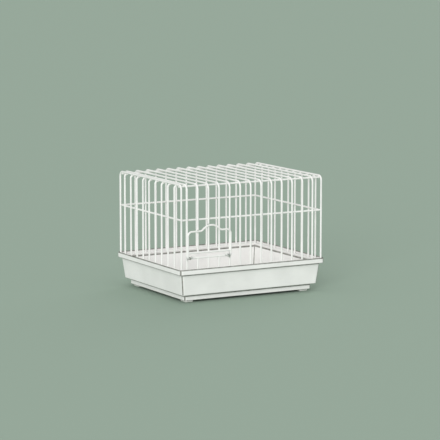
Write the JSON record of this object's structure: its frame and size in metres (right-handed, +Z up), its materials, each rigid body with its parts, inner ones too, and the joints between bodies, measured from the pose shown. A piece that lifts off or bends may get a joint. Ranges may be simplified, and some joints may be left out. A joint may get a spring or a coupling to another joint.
{
  "type": "guinea pig cage",
  "caption": "Small pet cage: a welded wire top with a drop-down wire door, which lifts off a moulded plastic tray with an upright rim, a recessed plinth and pad feet.",
  "frame": {"origin": "on the floor, under the middle of the tray's rim", "axes": "+X to the right along the long front, +Y from the front to the back, +Z up; the door is at the left end of the front"},
  "size_m": [0.491, 0.4153, 0.3521],
  "materials": {
    "wire_coat": "white powder coat on bent steel wire, satin",
    "tray_plastic": "white moulded polypropylene, satin",
    "clip_steel": "zinc-plated steel sheet",
    "foot_rubber": "pale grey moulded rubber"
  },
  "bodies": {
    "base": {"base_tray": "tray_plastic", "foot_back_left": "foot_rubber", "foot_back_right": "foot_rubber", "foot_front_left": "foot_rubber", "foot_front_right": "foot_rubber"},
    "wire_top": {"belt_ring": "wire_coat", "bottom_ring": "wire_coat", "cross_wire_back": "wire_coat", "cross_wire_front": "wire_coat", "door_stub_1": "wire_coat", "door_stub_2": "wire_coat", "door_stub_3": "wire_coat", "end_wire_left": "wire_coat", "end_wire_right": "wire_coat", "hinge_clip_left": "clip_steel", "hinge_clip_right": "clip_steel", "hinge_wire": "wire_coat", "left_bar_1": "wire_coat", "left_bar_2": "wire_coat", "left_bar_3": "wire_coat", "left_bar_4": "wire_coat", "left_bar_5": "wire_coat", "left_bar_6": "wire_coat", "left_bar_7": "wire_coat", "left_bar_8": "wire_coat", "left_bar_9": "wire_coat", "right_bar_1": "wire_coat", "right_bar_2": "wire_coat", "right_bar_3": "wire_coat", "right_bar_4": "wire_coat", "right_bar_5": "wire_coat", "right_bar_6": "wire_coat", "right_bar_7": "wire_coat", "right_bar_8": "wire_coat", "right_bar_9": "wire_coat", "roof_wire_01": "wire_coat", "roof_wire_02": "wire_coat", "roof_wire_03": "wire_coat", "roof_wire_04": "wire_coat", "roof_wire_05": "wire_coat", "roof_wire_06": "wire_coat", "roof_wire_07": "wire_coat", "roof_wire_08": "wire_coat", "roof_wire_09": "wire_coat", "roof_wire_10": "wire_coat", "roof_wire_11": "wire_coat", "roof_wire_12": "wire_coat", "roof_wire_13": "wire_coat"},
    "door": {"door_bar_1": "wire_coat", "door_bar_2": "wire_coat", "door_bar_3": "wire_coat", "door_frame": "wire_coat", "door_sill": "wire_coat"}
  },
  "joints": [
    {"name": "lift_off", "type": "slide", "parent": "base", "child": "wire_top", "axis": [0, 0, 1], "range_m": [0, 0.15]},
    {"name": "door_hinge", "type": "hinge", "parent": "wire_top", "child": "door", "pos_m": [-0.1492, -0.2061, 0.135], "axis": [1, 0, 0], "range_deg": [0, 170]}
  ]
}
